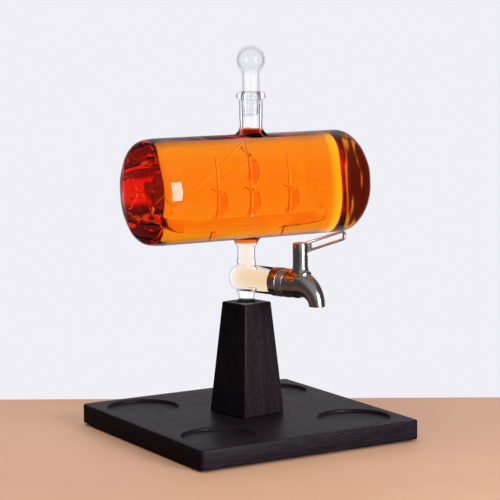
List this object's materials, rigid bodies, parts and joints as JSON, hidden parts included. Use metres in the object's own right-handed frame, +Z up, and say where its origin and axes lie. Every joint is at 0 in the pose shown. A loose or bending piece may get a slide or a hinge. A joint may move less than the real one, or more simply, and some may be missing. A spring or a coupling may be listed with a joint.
{
  "type": "decanter with tap",
  "caption": "Barrel-shaped glass decanter on a square wooden stand, with a glass ship inside, a ball stopper and a quarter-turn tap for pouring.",
  "frame": {"origin": "on the table under the middle of the square board, at the bottom of the feet", "axes": "+Z up, the board's sides along X and Y; the barrel lies along X, the tap points to -Y turned 18 degrees anticlockwise seen from above, and the pillar is turned 11 degrees the same way"},
  "size_m": [0.235, 0.235, 0.3689],
  "materials": {
    "black_wood": "dark stained wood with fine open grain under a satin lacquer",
    "clear_glass": "clear blown borosilicate glass, fire polished",
    "ship_glass": "clear lampworked glass",
    "steel": "stainless steel, machined and polished",
    "screw_steel": "plain zinc-bright steel",
    "silicone": "pale grey silicone, matt",
    "black_rubber": "black rubber, matt"
  },
  "bodies": {
    "stand": {"board": "black_wood", "foot_1": "black_rubber", "foot_2": "black_rubber", "foot_3": "black_rubber", "foot_4": "black_rubber", "pillar": "black_wood", "pillar_screw": "screw_steel", "screw_washer": "screw_steel"},
    "sleeve": {"peg_sleeve": "black_rubber"},
    "vessel": {"decanter_glass": "clear_glass", "ship_hull": "ship_glass", "ship_main_mast": "ship_glass", "ship_aft_mast": "ship_glass", "ship_fore_mast": "ship_glass", "ship_bowsprit": "ship_glass", "ship_stay_main_upper": "ship_glass", "ship_stay_main_lower": "ship_glass", "ship_stay_aft": "ship_glass", "ship_stay_fore": "ship_glass", "tap_ferrule": "steel", "tap_gasket": "silicone", "tap_lock_ring": "steel", "tap_bung": "silicone", "tap_shank_nut": "steel", "tap_body": "steel", "gland_ring": "steel"},
    "tap_valve": {"valve_plug": "steel", "stem_seal_1": "black_rubber", "stem_seal_2": "black_rubber", "tap_cap": "steel", "cap_screw": "screw_steel", "tap_lever": "steel"},
    "stopper": {"stopper": "clear_glass"}
  },
  "joints": [
    {"name": "swivel", "type": "hinge", "parent": "stand", "child": "sleeve", "pos_m": [0, 0, 0.1091], "axis": [0, 0, 1], "continuous": true},
    {"name": "vessel_lift", "type": "slide", "parent": "sleeve", "child": "vessel", "axis": [0, 0, 1], "range_m": [0, 0.045]},
    {"name": "tap_turn", "type": "hinge", "parent": "vessel", "child": "tap_valve", "pos_m": [0.02046, -0.06296, 0.165], "axis": [0, 0, -1], "range_deg": [0, 90]},
    {"name": "stopper_lift", "type": "slide", "parent": "vessel", "child": "stopper", "axis": [0, 0, 1], "range_m": [0, 0.04]}
  ]
}
